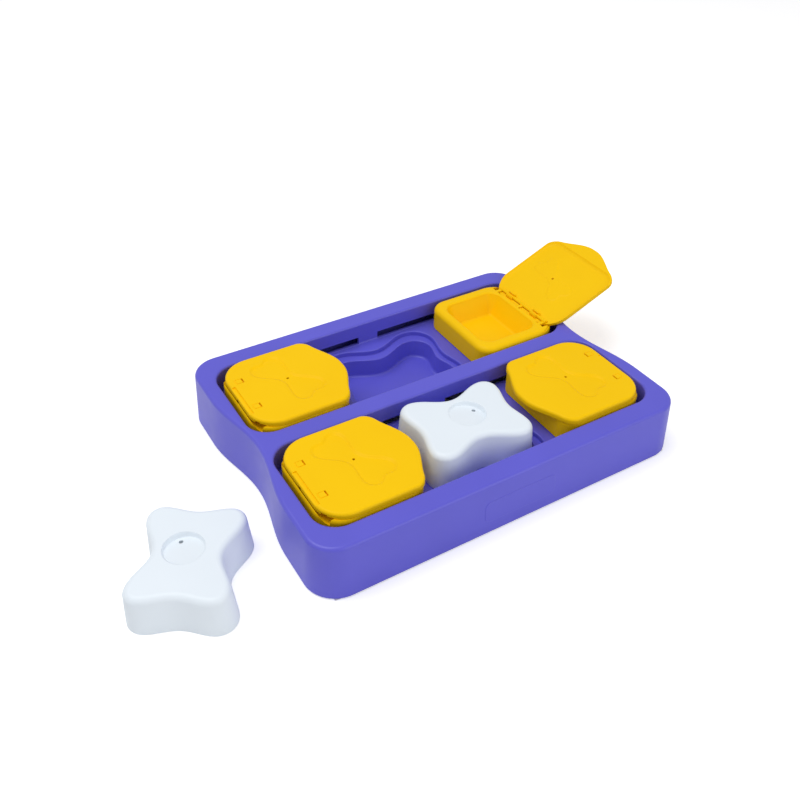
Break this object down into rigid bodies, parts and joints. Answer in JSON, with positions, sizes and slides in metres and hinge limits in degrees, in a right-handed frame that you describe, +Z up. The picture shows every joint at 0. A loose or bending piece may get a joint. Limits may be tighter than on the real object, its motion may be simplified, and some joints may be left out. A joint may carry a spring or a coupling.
{
  "type": "dog puzzle feeder",
  "caption": "Low waisted tray with channels in which lidded boxes slide and bone-shaped blocks cover the treat wells.",
  "frame": {"origin": "on the floor, under the middle of the whole set: tray, open lid and loose bone block", "axes": "+X along the tray's channels, towards the open lid; +Y across the tray, from the long side shown in front to the one behind; +Z up"},
  "size_m": [0.4874, 0.2438, 0.0809],
  "materials": {
    "violet_plastic": "satin",
    "yellow_plastic": "satin",
    "white_plastic": "satin",
    "foot_rubber": "matte"
  },
  "bodies": {
    "tray": {"tray_shell": "violet_plastic", "foot_rear_left": "foot_rubber", "foot_rear_right": "foot_rubber", "foot_front_left": "foot_rubber", "foot_front_right": "foot_rubber"},
    "slider_rear_left": {"box_rear_left": "yellow_plastic"},
    "lid_rear_left": {"lid_rear_left": "yellow_plastic"},
    "slider_rear_right": {"box_rear_right": "yellow_plastic"},
    "lid_rear_right": {"lid_rear_right": "yellow_plastic"},
    "slider_front_left": {"box_front_left": "yellow_plastic"},
    "lid_front_left": {"lid_front_left": "yellow_plastic"},
    "slider_front_right": {"box_front_right": "yellow_plastic"},
    "lid_front_right": {"lid_front_right": "yellow_plastic"},
    "bone_seated": {"bone_seated": "white_plastic"},
    "bone_loose": {"bone_loose": "white_plastic"}
  },
  "joints": [
    {"name": "slide_rear_left", "type": "slide", "parent": "tray", "child": "slider_rear_left", "axis": [1, 0, 0], "range_m": [0, 0.047]},
    {"name": "hinge_rear_left", "type": "hinge", "parent": "slider_rear_left", "child": "lid_rear_left", "pos_m": [-0.10417, 0.05475, 0.0468], "axis": [0, -1, 0], "range_deg": [0, 157]},
    {"name": "slide_rear_right", "type": "slide", "parent": "tray", "child": "slider_rear_right", "axis": [-1, 0, 0], "range_m": [0, 0.047]},
    {"name": "hinge_rear_right", "type": "hinge", "parent": "slider_rear_right", "child": "lid_rear_right", "pos_m": [0.16483, 0.05475, 0.0468], "axis": [0, 1, 0], "range_deg": [-157, 0]},
    {"name": "slide_front_left", "type": "slide", "parent": "tray", "child": "slider_front_left", "axis": [1, 0, 0], "range_m": [0, 0.003]},
    {"name": "hinge_front_left", "type": "hinge", "parent": "slider_front_left", "child": "lid_front_left", "pos_m": [-0.10417, -0.05475, 0.0468], "axis": [0, -1, 0], "range_deg": [0, 157]},
    {"name": "slide_front_right", "type": "slide", "parent": "tray", "child": "slider_front_right", "axis": [-1, 0, 0], "range_m": [0, 0.009]},
    {"name": "hinge_front_right", "type": "hinge", "parent": "slider_front_right", "child": "lid_front_right", "pos_m": [0.16483, -0.05475, 0.0468], "axis": [0, 1, 0], "range_deg": [0, 157]},
    {"name": "lift_bone_seated", "type": "slide", "parent": "tray", "child": "bone_seated", "axis": [0, 0, 1], "range_m": [0, 0.06]},
    {"name": "lift_bone_loose", "type": "slide", "parent": "tray", "child": "bone_loose", "axis": [0, 0, 1], "range_m": [0, 0.025]}
  ]
}
